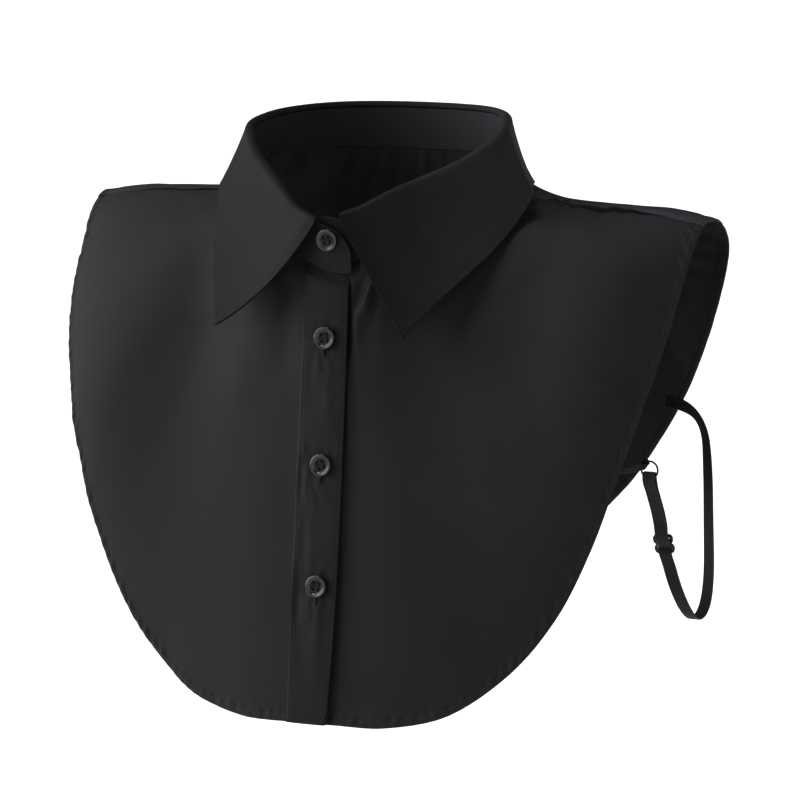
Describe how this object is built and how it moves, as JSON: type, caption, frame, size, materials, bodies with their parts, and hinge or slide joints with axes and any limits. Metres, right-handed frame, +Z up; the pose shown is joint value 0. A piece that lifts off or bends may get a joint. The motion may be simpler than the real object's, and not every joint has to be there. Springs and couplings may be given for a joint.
{
  "type": "detachable shirt collar",
  "caption": "Black detachable shirt collar: a false shirt front and back with a pointed collar, a buttoned placket and adjustable elastic side straps, filled out as worn.",
  "frame": {"origin": "centre of the neck opening at the height of the shoulders, where the wearer's neck and shoulders hold the garment", "axes": "+X towards the wearer's left, -Y towards the front, +Z up out of the neck opening"},
  "size_m": [0.3436, 0.1499, 0.2989],
  "materials": {
    "cloth": "black plain-weave shirt cloth, matt with a faint sheen",
    "elastic": "black woven elastic, matt",
    "button": "black, glossy, with a raised rim",
    "enamel": "black enamelled wire and plate, satin"
  },
  "bodies": {
    "root": {"front_right": "cloth", "front_left": "cloth", "back_panel": "cloth", "placket": "cloth", "collar_band": "cloth", "collar_leaf": "cloth", "ring_tab_left": "cloth", "ring_tab_right": "cloth", "button_1": "button", "button_2": "button", "button_3": "button", "button_4": "button", "strap_left": "elastic", "strap_right": "elastic", "ring_left": "enamel", "ring_right": "enamel", "slider_left": "enamel", "slider_right": "enamel"}
  },
  "joints": []
}
